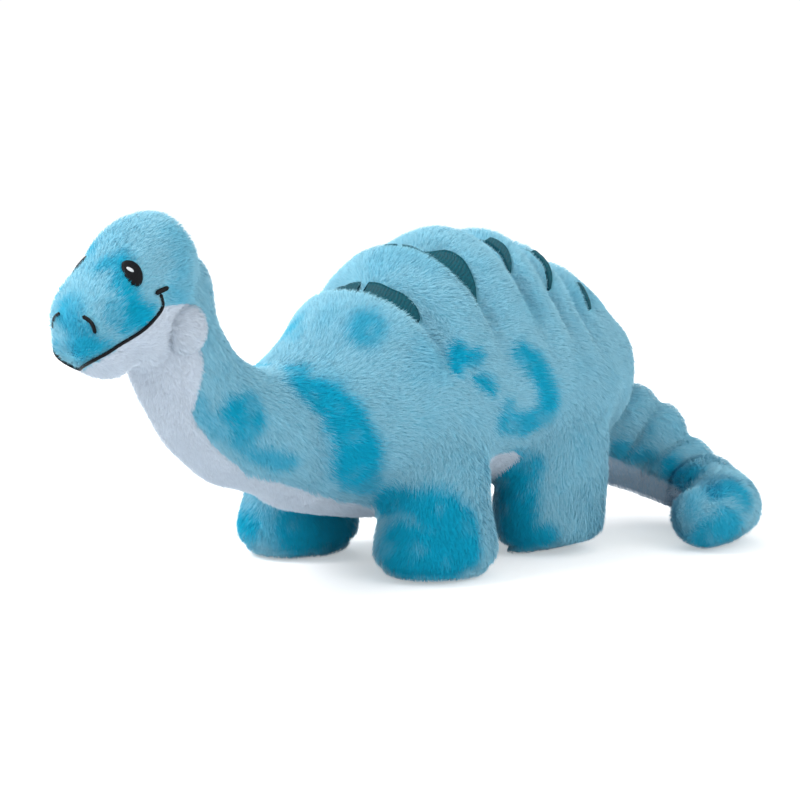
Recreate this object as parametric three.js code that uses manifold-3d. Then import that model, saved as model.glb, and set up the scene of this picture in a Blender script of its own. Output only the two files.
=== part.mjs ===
// A stuffed sauropod: plush covers sewn over stuffing, with a neck, a head, four legs and a tail that flex.
// Millimetres, +Z up. The dinosaur faces -Y, its left side is +X and its soles rest on z = 0.
import * as THREE from "three";
import { mergeVertices } from "three/addons/utils/BufferGeometryUtils.js";
import Module from "manifold-3d";

const wasm = await Module();
wasm.setup();

// Driving sizes
const PILE = 2.6; // thickness of a plush cover, its backing and short pile together
const SEAM = 0.3; // clearance between two pieces that meet
const PLAY = 0.6; // clearance around a limb that swings in its seam
const REACH = 600; // longer than the toy, for tools that cut right through it
const SOLE = 2.8; // thickness of a sole
const STAND = 0.5; // how deep a standing foot is cut flat
const THREAD = 1.1; // how far embroidery stands over the cover
const STRIPE_RISE = 1.3; // how far a back stripe stands over the cover that it is sewn on
const GROOVE_DEPTH = 4.4; // depth of the grooves between the humps of the back
const GROOVE_WIDTH = 7; // half the width of a groove
const GROOVE_FAN = 0.17; // share of their spread that the grooves close up by, down the flanks
const FAN_CENTRE = 22; // where they close up to, along Y
const FAN_FADE = [60, 98]; // how far from there the closing up fades out
const GROOVES = [-26, 8, 40, 63, 85]; // where the grooves cross the spine, along Y

// How far round a dome its rings lie, as shares of a right angle
const DOME_RINGS = [0.33, 0.67];

// Radii of the round ends that the limbs are sewn in with
const NECK_BALL = 31;
const FRONT_HIP = 26;
const HIND_HIP = 29;
const TAIL_BALL = 23;

// Swings of the sewn limbs, in degrees either way
const NECK_SWING = 7;
const HEAD_TURN = 20;
const LEG_SWING = 8;
const TAIL_SWING = 10;
const SPARE_SWING = 6; // degrees that every socket clears beyond its limb's own swing

// Colours
const SKY = 0x7fc4e4;
const PALE = 0xe3eaf4;
const TEAL = 0x0d4f63;
const BLACK = 0x0b0b0d;
const WHITE = 0xf6f6f4;
const FILL = 0xf1efe8;

// Padded forms. A station is [x, y, z, half width, rise, drop] on the spine of the form.
// In frame "side" a section is level from side to side, in frame "up" it stands upright.
const TORSO = {
  widest: 58,
  frame: "up", sides: 22, coreSides: 12, domes: [12, 10],
  stations: [
    [0, -76, 62, 37, 28, 33], [0, -56, 66, 44.5, 35, 42], [0, -32, 70, 54, 52, 50],
    [0, -4, 74, 57, 62, 49], [0, 24, 78, 57, 67.5, 50], [0, 54, 78, 57.5, 65, 48],
    [0, 84, 75, 53.5, 54, 45], [0, 108, 70, 42.5, 38.5, 38], [0, 120, 66, 33, 27.5, 28],
  ],
};
const NECK = {
  frame: "side", rings: 7, sides: 16, coreSides: 10, domes: [18, NECK_BALL],
  stations: [
    [0, -139.5, 131, 20, 20.5, 20.5], [0, -136, 108, 23, 21.5, 23], [0, -120, 88, 22.5, 21, 28.5],
    [0, -100, 76, 28, 21, 32.5], [0, -76, 66, 32, NECK_BALL, NECK_BALL],
  ],
};
const HEAD = {
  frame: "side", rings: 8, sides: 20, coreSides: 12, domes: [10, 9],
  stations: [
    [0, -184, 111, 18, 11, 22], [0, -177, 121, 24, 16.5, 30], [0, -162, 133, 25.5, 19.5, 39],
    [0, -150, 141, 24, 22, 36], [0, -141, 144.5, 20.5, 20, 26],
  ],
};
const FRONT_LEG = {
  frame: "side", rings: 5, sides: 14, coreSides: 8, domes: [FRONT_HIP, 0],
  stations: [
    [37, -19, 48, 24, FRONT_HIP, FRONT_HIP], [41, -21, 28, 24, 27, 27], [42, -22, 12, 26, 30, 30],
    [42, -22, 5, 25.5, 29, 29], [42, -22, -STAND, 22, 25, 25],
  ],
};
const HIND_LEG = {
  frame: "side", rings: 5, sides: 14, coreSides: 8, domes: [HIND_HIP, 0],
  stations: [
    [35, 62, 50, 25, HIND_HIP, HIND_HIP], [36, 61, 30, 23, 29, 31], [36, 60, 12, 23.5, 27, 29],
    [37, 60, 5, 23.5, 26.5, 28.5], [38, 60, -STAND, 20.5, 23, 24],
  ],
};
const TAIL = {
  frame: "up", rings: 8, sides: 14, coreSides: 8, domes: [TAIL_BALL, 9],
  stations: [
    [0, 110, 60, TAIL_BALL, 24, 25], [4, 130, 50, 21, 22, 29], [18, 147, 39, 18.5, 22, 28],
    [40, 152, 26, 17, 15.5, 21.5], [60, 146, 20.5, 16, 13.5, 17],
  ],
};
const TAIL_TIP = {
  frame: "up", rings: 5, sides: 14, domes: [4, 12],
  stations: [
    [62, 145, 20, 16, 13.5, 16], [76, 136, 17.5, 16.5, 14, 16.5], [84, 122, 16, 17, 14.5, 16.5],
    [87, 106, 15, 16, 14, 15.5],
  ],
};

// A form runs smoothly through its stations, so each station between two given ones is eased
function easedStation(stations, t) {
  const last = stations.length - 1;
  const along = THREE.MathUtils.clamp(t, 0, 1) * last;
  const i = Math.min(Math.floor(along), last - 1);
  const u = along - i;
  const [from, to] = [stations[i], stations[i + 1]];
  const before = stations[i - 1] ?? from.map((v, k) => 2 * v - to[k]);
  const after = stations[i + 2] ?? to.map((v, k) => 2 * v - from[k]);
  return from.map((v, k) => {
    const leave = (to[k] - before[k]) / 2;
    const arrive = (after[k] - v) / 2;
    const cubic = 2 * v - 2 * to[k] + leave + arrive;
    const square = 3 * to[k] - 3 * v - 2 * leave - arrive;
    return ((cubic * u + square) * u + leave) * u + v;
  });
}

// Centre, directions and radii of the section at t
function sectionAt(form, t) {
  const [x, y, z, half, rise, drop] = easedStation(form.stations, t);
  const ahead = easedStation(form.stations, Math.min(1, t + 0.01));
  const behind = easedStation(form.stations, Math.max(0, t - 0.01));
  const along = new THREE.Vector3(ahead[0] - behind[0], ahead[1] - behind[1], ahead[2] - behind[2]).normalize();
  const side = new THREE.Vector3(1, 0, 0);
  const over = new THREE.Vector3(0, 0, 1);
  if (form.frame === "side") {
    side.addScaledVector(along, -side.dot(along)).normalize();
    over.crossVectors(side, along);
  } else {
    over.addScaledVector(along, -over.dot(along)).normalize();
    side.crossVectors(along, over);
  }
  return { centre: new THREE.Vector3(x, y, z), along, side, over, half, rise, drop };
}

// Points of one ring, moved along the spine by shift and drawn in to a share of its radii
function ringPoints(form, t, grow, shift = 0, share = 1) {
  const s = sectionAt(form, t);
  return Array.from({ length: form.sides }, (_, k) => {
    const angle = (2 * Math.PI * (k + 0.5)) / form.sides;
    const across = Math.sin(angle) * (s.half + grow) * share;
    const height = Math.cos(angle) * ((Math.cos(angle) > 0 ? s.rise : s.drop) + grow) * share;
    const point = s.centre.clone().addScaledVector(s.along, shift);
    point.addScaledVector(s.side, across).addScaledVector(s.over, height);
    if (form.relief) {
      form.relief(point, angle);
    }
    return point;
  });
}

// A closed loft over the stations, with a dome at either end; grow swells or thins it all over
function loft(form, grow = 0) {
  const steps = form.at ?? Array.from({ length: form.rings + 1 }, (_, i) => i / form.rings);
  const domes = form.domes.map((depth) => (depth ? depth + grow : 0));
  const bends = DOME_RINGS.map((share) => (share * Math.PI) / 2);
  const rings = [];
  if (domes[0]) {
    const first = bends.toReversed();
    first.forEach((b) => rings.push(ringPoints(form, 0, grow, -domes[0] * Math.sin(b), Math.cos(b))));
  }
  steps.forEach((t) => rings.push(ringPoints(form, t, grow)));
  if (domes[1]) {
    bends.forEach((b) => rings.push(ringPoints(form, 1, grow, domes[1] * Math.sin(b), Math.cos(b))));
  }
  const start = sectionAt(form, 0);
  const end = sectionAt(form, 1);
  const points = rings.flat();
  points.push(start.centre.addScaledVector(start.along, -domes[0]));
  points.push(end.centre.addScaledVector(end.along, domes[1]));
  const index = [];
  const n = form.sides;
  for (let k = 0; k < n; k++) {
    const next = (k + 1) % n;
    for (let r = 0; r + 1 < rings.length; r++) {
      index.push(r * n + k, r * n + next, (r + 1) * n + k);
      index.push(r * n + next, (r + 1) * n + next, (r + 1) * n + k);
    }
    index.push(rings.length * n, next, k);
    index.push(rings.length * n + 1, (rings.length - 1) * n + k, (rings.length - 1) * n + next);
  }
  const geometry = new THREE.BufferGeometry().setFromPoints(points);
  geometry.setIndex(index);
  return solid(geometry);
}

// The solid inside a closed geometry
function solid(geometry) {
  const bare = geometry.clone();
  bare.deleteAttribute("normal");
  bare.deleteAttribute("uv");
  const welded = mergeVertices(bare, 1e-4);
  const mesh = new wasm.Mesh({
    numProp: 3,
    vertProperties: new Float32Array(welded.attributes.position.array),
    triVerts: new Uint32Array(welded.index.array),
  });
  const made = new wasm.Manifold(mesh);
  if (made.volume() > 0) {
    return made;
  }
  mesh.triVerts = mesh.triVerts.map((_, i, all) => all[i - (i % 3) + 2 - (i % 3)]);
  return new wasm.Manifold(mesh);
}

// The three.js mesh of a solid
function piece(name, made, color, roughness = 0.95) {
  const mesh = made.getMesh();
  const geometry = new THREE.BufferGeometry();
  geometry.setAttribute("position", new THREE.BufferAttribute(new Float32Array(mesh.vertProperties), 3));
  geometry.setIndex(new THREE.BufferAttribute(new Uint32Array(mesh.triVerts), 1));
  geometry.computeVertexNormals();
  const material = new THREE.MeshStandardMaterial({ color, roughness, metalness: 0 });
  const result = new THREE.Mesh(geometry, material);
  result.name = name;
  return result;
}

// A box from low to high
function block(low, high) {
  const size = high.map((v, k) => v - low[k]);
  const geometry = new THREE.BoxGeometry(...size);
  geometry.translate(...low.map((v, k) => v + size[k] / 2));
  return solid(geometry);
}

// A prism along X over an outline of [y, z] points, from x = low to x = high
function sidePrism(outline, low, high) {
  const shape = new THREE.Shape(outline.map(([y, z]) => new THREE.Vector2(y, z)));
  const geometry = new THREE.ExtrudeGeometry(shape, { depth: high - low, bevelEnabled: false });
  geometry.applyMatrix4(new THREE.Matrix4().set(0, 0, 1, low, 1, 0, 0, 0, 0, 1, 0, 0, 0, 0, 0, 1));
  return solid(geometry);
}

// A prism along Y over an outline of [x, z] points, from the front as far back as y = back
function frontPrism(outline, back) {
  const shape = new THREE.Shape(outline.map(([x, z]) => new THREE.Vector2(x, z)));
  const geometry = new THREE.ExtrudeGeometry(shape, { depth: REACH, bevelEnabled: false });
  geometry.rotateX(Math.PI / 2);
  geometry.translate(0, back, 0);
  return solid(geometry);
}

// A prism along Z over an outline of [x, y] points
function topPrism(outline, low, high) {
  const shape = new THREE.Shape(outline.map(([x, y]) => new THREE.Vector2(x, y)));
  const geometry = new THREE.ExtrudeGeometry(shape, { depth: high - low, bevelEnabled: false });
  geometry.translate(0, 0, low);
  return solid(geometry);
}

// The space that a limb sweeps as it swings about its root, with play around it. The limb's end there is
// round about the swing's axis, so the socket clears the corners of its facets as they swing. Every section
// further out flares by as much as it travels.
function socket(form, root, swing, radii) {
  const flare = Math.tan(THREE.MathUtils.degToRad(swing + SPARE_SWING));
  const facet = (Math.PI / 2) * DOME_RINGS[0];
  const sag = swing ? Math.max(...form.domes) * (1 - Math.cos(facet / 2)) : 0;
  const stations = form.stations.map((station) => {
    const travel = pointAt(station).distanceTo(root) * flare + sag;
    return station.map((v, k) => (radii.includes(k) ? v + travel : v));
  });
  const domes = form.domes.map((depth) => (depth ? depth + sag : 0));
  return loft({ ...form, stations, domes }, PLAY);
}

// The same form on the other side of the toy
function mirrored(form) {
  return { ...form, stations: form.stations.map(([x, ...rest]) => [-x, ...rest]) };
}

// Grooves run over the back and down the flanks, deepest near the spine
function grooveAt(point, angle) {
  const crest = Math.max(0, Math.cos(angle));
  const depth = GROOVES.reduce((sum, y) => {
    const off = (point.y - y) / GROOVE_WIDTH;
    return sum + GROOVE_DEPTH * Math.exp(-off * off);
  }, 0);
  return depth * Math.sqrt(crest);
}
// How far a line across the back drifts along Y on its way down the flank
function fan(y, angle) {
  const spread = y - FAN_CENTRE;
  const share = 1 - THREE.MathUtils.smoothstep(Math.abs(spread), ...FAN_FADE);
  return -GROOVE_FAN * share * spread * 2.6 * Math.sin(angle) ** 2 * Math.max(0, Math.cos(angle));
}
TORSO.relief = (point, angle) => {
  const depth = grooveAt(point, angle);
  point.y += fan(point.y, angle);
  point.z -= depth * Math.cos(angle);
  point.x -= depth * Math.sin(angle);
};

// Rings of the torso lie on its grooves and humps
function torsoSteps() {
  const { stations } = TORSO;
  const crossings = [stations[0][1], stations[0][1] + 14, stations[0][1] + 28];
  GROOVES.forEach((y, i) => {
    crossings.push(y - GROOVE_WIDTH, y, y + GROOVE_WIDTH);
    if (i + 1 < GROOVES.length && GROOVES[i + 1] - y > 3 * GROOVE_WIDTH) {
      crossings.push((y + GROOVES[i + 1]) / 2);
    }
  });
  const tAt = (y) => {
    let [low, high] = [0, 1];
    for (let i = 0; i < 30; i++) {
      const middle = (low + high) / 2;
      if (easedStation(stations, middle)[1] < y) {
        low = middle;
      } else {
        high = middle;
      }
    }
    return (low + high) / 2;
  };
  const inside = crossings.filter((y) => y <= stations.at(-1)[1]).map(tAt);
  const steps = [0, ...inside, 1].toSorted((a, b) => a - b);
  return steps.filter((t, i) => i === 0 || t - steps[i - 1] > 0.01);
}
TORSO.at = torsoSteps();

// Everything below this side line is pale short pile: throat, chest and belly, as [y, z]
const PALE_LINE = [
  [-150, 112], [-148, 104], [-142, 87], [-136, 77], [-124.5, 65], [-109, 53], [-80, 43.5], [-64, 37],
  [-46, 33], [160, 33],
];
// The mouth line from its corner to the front of the snout, as [y, z]
const MOUTH_LINE = [
  [-163, 132.5], [-161.5, 127.5], [-167, 122.5], [-174, 118], [-182, 112.5], [-188, 108], [-191, 104],
  [-205, 103],
];
// The pale jaw ends behind the cheek
const JAW_BACK = [[-150, 126], [-139, 115], [-139, 60]];
const NOSTRIL_LINE = [[7, 124.8], [10, 123.5], [12, 121.5], [13, 118.3]]; // seen from the front, as [x, z]
const CORNER_LINE = [[-166, 133], [-159.5, 134.5]];
const EYE = { at: [-172.6, 141.5], radii: [3.4, 5.2], lean: 14, rise: 1.8 };
const GLINT = { at: [-173.1, 142.8], radii: [1.1, 1.3], lean: 0, rise: 2.6 };
const CHEEK = { at: [19.5, -146.5, 116.5], radii: [6.8, 10, 10.5] };
const STITCH = 1.8; // width of an embroidered line
const CORNER_STITCH = 2.3; // width of the thick stitch at a mouth corner
const HIP_OPENING = 14; // how far inside the hip a leg cover opens to the body
const NECK_OPENING = 5; // how far below its end the neck cover opens into the head
// Back stripes: how far out each reaches from the spine, and its width
const STRIPES = [[34, 11], [41, 12], [40, 10], [43, 8.5], [45, 7.5]];
const TAIL_UNDER = 9; // depth of the pale panel under the tail
const OVAL_SIDES = 16;

const X = new THREE.Vector3(1, 0, 0);
const Z = new THREE.Vector3(0, 0, 1);
const FAR = REACH / 2;
const leftHalf = block([SEAM / 2, -FAR, -FAR], [FAR, FAR, FAR]);
const rightHalf = block([-FAR, -FAR, -FAR], [-SEAM / 2, FAR, FAR]);
const ground = block([-FAR, -FAR, -FAR], [FAR, FAR, 0]);

// An outline around a line, width wide
function ribbon(line, width) {
  const points = line.map(([a, b]) => new THREE.Vector2(a, b));
  const offsets = points.map((point, i) => {
    const ahead = points[Math.min(i + 1, points.length - 1)];
    const behind = points[Math.max(i - 1, 0)];
    const run = ahead.clone().sub(behind).normalize();
    return new THREE.Vector2(-run.y, run.x).multiplyScalar(width / 2);
  });
  const one = points.map((point, i) => point.clone().add(offsets[i]).toArray());
  const other = points.map((point, i) => point.clone().sub(offsets[i]).toArray());
  return [...one, ...other.toReversed()];
}

// An oval outline with its long radius leaning back from upright
function oval({ at, radii, lean }) {
  const tilt = THREE.MathUtils.degToRad(lean);
  return Array.from({ length: OVAL_SIDES }, (_, k) => {
    const angle = (2 * Math.PI * k) / OVAL_SIDES;
    const [a, b] = [Math.cos(angle) * radii[0], Math.sin(angle) * radii[1]];
    const dy = a * Math.cos(tilt) + b * Math.sin(tilt);
    const dz = b * Math.cos(tilt) - a * Math.sin(tilt);
    return [at[0] + dy, at[1] + dz];
  });
}

// The outline moved by dy, dz
const moved = (outline, dy, dz) => outline.map(([y, z]) => [y + dy, z + dz]);

// A cover of a form, hollow for its stuffing, which has fewer sides
const inside = (form, grow) => loft({ ...form, sides: form.coreSides }, grow);
const cover = (form) => loft(form).subtract(inside(form, -PILE));
const stuffing = (form) => inside(form, -PILE - SEAM);

// Embroidery: what the tool leaves of a skin that stands over the form
function embroidery(form, rise, tool, base = SEAM) {
  return loft(form, rise).intersect(tool).subtract(loft(form, base));
}

const pointAt = ([x, y, z]) => new THREE.Vector3(x, y, z);

// Each tool for the left side, and the same for the right
const bothSides = (tool) => ({ left: tool, right: tool.mirror([1, 0, 0]) });

// Where the limbs are sewn on, and what each sweeps
const NECK_ROOT = pointAt(NECK.stations.at(-1));
const HEAD_ROOT = pointAt(NECK.stations[0]);
const HEAD_AXIS = HEAD_ROOT.clone().sub(pointAt(NECK.stations[1])).normalize();
const TAIL_ROOT = pointAt(TAIL.stations[0]);
const legs = {
  leg_front_left: FRONT_LEG,
  leg_front_right: mirrored(FRONT_LEG),
  leg_hind_left: HIND_LEG,
  leg_hind_right: mirrored(HIND_LEG),
};
// Which radii of a station grow as a limb swings: across for a sideways swing, rise and drop for a nod
const ACROSS = [3];
const UP_DOWN = [4, 5];
const sockets = Object.values(legs).map((leg) => socket(leg, pointAt(leg.stations[0]), LEG_SWING, UP_DOWN));
sockets.push(socket(NECK, NECK_ROOT, NECK_SWING, UP_DOWN), socket(TAIL, TAIL_ROOT, TAIL_SWING, ACROSS));
const limbs = sockets.reduce((all, next) => all.add(next));
const neckInHead = socket(NECK, HEAD_ROOT, 0, [...ACROSS, ...UP_DOWN]); // turns about the neck's own line

const toy = new THREE.Group();
const add = (...args) => toy.add(piece(...args));

// Torso: two back panels, a belly panel, its stuffing and the stripes in its grooves
const paleOutline = [...PALE_LINE, [160, -60], [-300, -60], [-300, 112]];
const paleBelow = sidePrism(moved(paleOutline, -SEAM / 2, -SEAM / 2), -FAR, FAR);
const paleWithSeam = sidePrism(moved(paleOutline, SEAM / 2, SEAM / 2), -FAR, FAR);
const torsoCover = cover(TORSO).subtract(limbs);
const back = torsoCover.subtract(paleWithSeam);
add("body_left", back.intersect(leftHalf), SKY);
add("body_right", back.intersect(rightHalf), SKY);
add("belly", torsoCover.intersect(paleBelow), PALE);
add("body_stuffing", stuffing(TORSO).subtract(limbs), FILL);

// A crescent in a groove, from the spine outwards, seen from above
function crescent(grooveY, [reach, width]) {
  const steps = 6;
  const edge = (sign) => Array.from({ length: steps + 1 }, (_, i) => {
    const u = i / steps;
    const half = (width / 2) * Math.sin(Math.PI * (0.2 + 0.8 * u));
    const x = SEAM + u * (reach - SEAM);
    return [x, grooveY + sign * half + fan(grooveY, Math.asin(x / TORSO.widest))];
  });
  return [...edge(-1), ...edge(1).toReversed().slice(1)];
}
GROOVES.forEach((grooveY, i) => {
  const outline = topPrism(crescent(grooveY, STRIPES[i]), TORSO.stations[0][2], FAR);
  for (const [side, tool] of Object.entries(bothSides(outline))) {
    add(`stripe_${i + 1}_${side}`, embroidery(TORSO, STRIPE_RISE, tool), TEAL, 0.85);
  }
});

// Neck
const neckTop = HEAD_ROOT.z + NECK.domes[0] - NECK_OPENING;
const neckCover = cover(NECK).trimByPlane([0, -1, 0], -NECK_ROOT.y).trimByPlane([0, 0, -1], -neckTop);
add("neck", neckCover.subtract(paleWithSeam), SKY);
add("throat", neckCover.intersect(paleBelow), PALE);
add("neck_stuffing", stuffing(NECK), FILL);

// Head
const jawOutline = [...MOUTH_LINE.slice(1).toReversed(), ...JAW_BACK, [-205, 60]];
const headCover = cover(HEAD).subtract(neckInHead);
add("head", headCover.subtract(sidePrism(moved(jawOutline, 0, SEAM / 2), -FAR, FAR)), SKY);
add("jaw", headCover.intersect(sidePrism(moved(jawOutline, 0, -SEAM / 2), -FAR, FAR)), PALE);
add("head_stuffing", stuffing(HEAD).subtract(neckInHead), FILL);
const smile = embroidery(HEAD, THREAD, sidePrism(ribbon(MOUTH_LINE, STITCH), -FAR, FAR));
const cornerRoom = sidePrism(ribbon(CORNER_LINE, CORNER_STITCH + 2 * SEAM), -FAR, FAR);
add("mouth", smile.subtract(cornerRoom), BLACK, 0.6);
const face = {
  eye: { tool: sidePrism(oval(EYE), 0, FAR), rise: EYE.rise, color: BLACK },
  glint: { tool: sidePrism(oval(GLINT), 0, FAR), rise: GLINT.rise, base: EYE.rise + SEAM, color: WHITE },
  nostril: { tool: frontPrism(ribbon(NOSTRIL_LINE, STITCH), HEAD.stations[1][1]), rise: THREAD, color: BLACK },
  mouth_corner: { tool: sidePrism(ribbon(CORNER_LINE, CORNER_STITCH), 0, FAR), rise: THREAD, color: BLACK },
};
for (const [name, { tool, rise, base, color }] of Object.entries(face)) {
  for (const [side, outline] of Object.entries(bothSides(tool))) {
    add(`${name}_${side}`, embroidery(HEAD, rise, outline, base), color, 0.4);
  }
}
const cheek = solid(new THREE.SphereGeometry(1, 12, 8).scale(...CHEEK.radii).translate(...CHEEK.at));
for (const [side, puff] of Object.entries(bothSides(cheek))) {
  add(`cheek_${side}`, puff.subtract(loft(HEAD, SEAM)).subtract(neckInHead), PALE);
}

// Legs: a cover open inside the body, a sole and stuffing that fills the socket
for (const [name, leg] of Object.entries(legs)) {
  const hip = pointAt(leg.stations[0]);
  const outward = new THREE.Vector3(Math.sign(hip.x) * 0.6, 0, -0.8);
  const below = block([-FAR, -FAR, -FAR], [FAR, FAR, SOLE]);
  const belowCover = block([-FAR, -FAR, -FAR], [FAR, FAR, SOLE + SEAM]);
  const open = cover(leg).trimByPlane(outward.toArray(), outward.dot(hip) - HIP_OPENING);
  add(name, open.subtract(belowCover), SKY);
  add(name.replace("leg", "sole"), loft(leg).intersect(below).subtract(ground), SKY);
  add(`${name}_stuffing`, stuffing(leg).subtract(belowCover), FILL);
}

// Tail: its cover, the pale panel under it, its stuffing and the tip that curls forward
const underStations = TAIL.stations.filter((_, i) => i % 2 === 0);
const underPoints = underStations.map(([x, y, z, , , drop]) => new THREE.Vector3(x, y, z - drop + TAIL_UNDER));
const underPlane = new THREE.Plane().setFromCoplanarPoints(...underPoints);
const upward = Math.sign(underPlane.normal.z);
const above = underPlane.normal.clone().multiplyScalar(upward);
const level = -underPlane.constant * upward;
const tailCover = cover(TAIL).trimByPlane([0, 1, 0], TAIL_ROOT.y);
add("tail", tailCover.trimByPlane(above.toArray(), level + SEAM / 2), SKY);
add("tail_underside", tailCover.trimByPlane(above.clone().negate().toArray(), SEAM / 2 - level), PALE);
add("tail_stuffing", stuffing(TAIL), FILL);
add("tail_tip", loft(TAIL_TIP).subtract(loft(TAIL, SEAM)).subtract(ground), SKY);

// The origin is on the floor, below the middle of the toy's overall box
const overall = new THREE.Box3().setFromObject(toy);
const middle = overall.getCenter(new THREE.Vector3());
toy.position.set(-middle.x, -middle.y, 0);

export default toy;
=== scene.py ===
"""A stuffed sauropod: sewn skins of blue plush with real pile, woven stripes and an embroidered face."""
import math

import bpy
import numpy as np
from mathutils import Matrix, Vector, kdtree
from mathutils.bvhtree import BVHTree


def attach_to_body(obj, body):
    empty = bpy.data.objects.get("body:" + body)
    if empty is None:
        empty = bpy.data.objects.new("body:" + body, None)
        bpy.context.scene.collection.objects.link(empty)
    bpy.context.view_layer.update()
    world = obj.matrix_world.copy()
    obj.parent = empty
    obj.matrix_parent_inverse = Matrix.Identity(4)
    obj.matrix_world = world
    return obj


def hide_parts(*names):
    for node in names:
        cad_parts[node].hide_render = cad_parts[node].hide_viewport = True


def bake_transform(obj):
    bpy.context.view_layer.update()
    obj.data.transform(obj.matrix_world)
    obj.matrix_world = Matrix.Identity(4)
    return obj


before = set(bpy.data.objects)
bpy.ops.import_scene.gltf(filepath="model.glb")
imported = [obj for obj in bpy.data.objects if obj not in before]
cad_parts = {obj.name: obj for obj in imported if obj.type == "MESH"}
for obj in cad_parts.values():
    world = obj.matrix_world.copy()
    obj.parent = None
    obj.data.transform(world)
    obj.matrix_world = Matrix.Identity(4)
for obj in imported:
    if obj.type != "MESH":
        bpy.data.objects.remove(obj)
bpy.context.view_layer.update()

# Sizes and places in millimetres, as the solids have them before they are shifted
SHIFT = np.array([-17.272, 12.796, 0.0])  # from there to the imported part's frame
PILE = 2.3       # how far the pile stands over its backing
VOXEL = 1.9      # size of a cell when the sewn forms are joined
DENSITY = 3.9    # blades of pile per square millimetre on the blue plush
PALE_DENSITY = 3.6
LENGTH, PALE_LENGTH = 3.6, 2.4  # of a blade
LIFT, PALE_LIFT = 0.52, 0.62    # angle of a blade over the backing, in radians
BLADE_WIDTH = (0.16, 0.27)
MOST_BLADES = 60000  # in one mesh

# Stations are [x, y, z, half width, rise, drop], within 3 mm of those of the solids
TORSO = dict(frame="up", domes=(12, 10), stations=[
    [0, -76, 62, 37, 28, 33], [0, -56, 66, 44.5, 35, 42], [0, -32, 70, 54, 52, 50],
    [0, -4, 74, 57, 62, 49], [0, 24, 78, 57, 67.5, 50], [0, 54, 78, 57.5, 65, 48],
    [0, 84, 75, 53.5, 54, 45], [0, 108, 70, 42.5, 38.5, 38], [0, 120, 66, 33, 27.5, 28]])
NECK = dict(frame="side", domes=(18, 31), stations=[
    [0, -139.5, 131, 20, 20.5, 20.5], [0, -136, 108, 23, 21.5, 23], [0, -120, 88, 22.5, 21, 28.5],
    [0, -100, 76, 28, 21, 32.5], [0, -76, 66, 32, 31, 31]])
HEAD = dict(frame="side", domes=(10, 9), stations=[
    [0, -184, 111, 17.3, 11, 22.5], [0, -177, 121, 24.5, 16.5, 30], [0, -162, 133, 23.5, 19.7, 39],
    [0, -150, 142.3, 24.5, 21.7, 36.5], [0, -141, 144.5, 21.2, 20.5, 26]])
FRONT_LEG = dict(frame="side", domes=(26, 3), stations=[
    [37, -19, 48, 24, 26, 26], [41, -21, 28, 24, 27, 27], [42, -22, 12, 26, 30, 30],
    [42, -22, 5, 25.5, 29, 29], [42, -22, 2.2, 22, 25, 25]])
HIND_LEG = dict(frame="side", domes=(29, 3), stations=[
    [35, 62, 50, 25, 29, 29], [36, 61, 30, 23, 29, 31], [36, 60, 12, 23.5, 27, 29],
    [37, 60, 5, 23.5, 26.5, 28.5], [38, 60, 2.2, 20.5, 23, 24]])
TAIL = dict(frame="up", domes=(23, 9), stations=[
    [0, 110, 60, 23, 24, 25], [4, 130, 50, 21, 22, 29], [18, 147, 39, 18.5, 22, 28],
    [40, 152, 26, 17, 15.5, 21.5], [60, 146, 20.5, 16, 13.5, 17]])
TAIL_TIP = dict(frame="up", domes=(4, 12), stations=[
    [62, 145, 20, 16, 13.5, 16], [76, 136, 17.5, 16.5, 14, 16.5], [84, 122, 16, 17, 14.5, 16.5],
    [87, 106, 15, 16, 14, 15.5]])
GROOVES = (-26, 8, 40, 63, 85)
# Each stripe on its groove: [degrees down from the crest, millimetres behind the groove, half width]
STRIPES = (
    ((2.5, 6, 5.2), (9, 6.2, 5.0), (16, 6.5, 4.4), (25, 7.5, 3.7), (33, 7.5, 2.4), (38, 7, 0.8)),
    ((2.5, 5, 3.8), (9, 5.8, 4.3), (17, 7.5, 4.4), (28, 8.5, 3.8), (38, 8, 2.7), (45, 6.5, 1.7),
     (50, 5, 0.7)),
    ((2.5, 4, 0.25), (10, 4.3, 0.3), (16, 4.5, 0.75), (24, 4.5, 0.85), (31, 3.5, 0.7), (36, 2, 0.4)),
    ((2.5, 3.5, 0.25), (14, 4, 0.25), (20, 4, 0.6), (28, 4, 0.65), (36, 2.8, 0.6), (43, 1, 0.4)),
    ((2.5, 4.5, 0.25), (24, 5, 0.25), (30, 5, 0.45), (40, 5.5, 0.5), (47, 5, 0.4)))
GROOVE_DEPTH, GROOVE_WIDTH = 11.2, 5.95
HUMP_SWELL = 0.9  # how far the humps stand over the torso's stations
GROOVE_FAN = 0.442  # how much the grooves spread like a fan down the sides
FOOT_ROUND = 17.0  # height over which a foot rounds in to its sole
SOLE_HEIGHT = 1.4
TAIL_FOLDS = (0.1, 0.27, 0.44, 0.62, 0.8)  # as shares of the tail's run
FOLD_HEIGHT, FOLD_SINK = 2.4, 1.9
SEAM_DEPTH = 0.9
DENTS = ((0.9, 26, 32), (0.45, 11, 33))  # depth, distance apart and seed
MOUTH_LINE = [[-163, 132.5], [-162, 127], [-167.5, 122.3], [-174.8, 117.8], [-182.5, 112], [-188, 108],
              [-191, 104], [-205, 103]]
MOUTH_BELOW = 24  # degrees below the level, seen from inside the snout, where the mouth crosses the front
SNOUT = np.array([0, -172, 108.0])
PALE_LINE = [[-150, 112], [-148, 104], [-142, 87], [-136, 77], [-124.5, 65], [-109, 53], [-80, 43.5],
             [-64, 37], [-46, 33], [-28, 32], [-8, 41], [8, 50], [24, 51], [40, 44], [60, 34], [84, 33],
             [112, 46], [170, 46]]
TAIL_PLANE = ((0, 110, 44), (18, 147, 26), (60, 146, 13.5))
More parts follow.
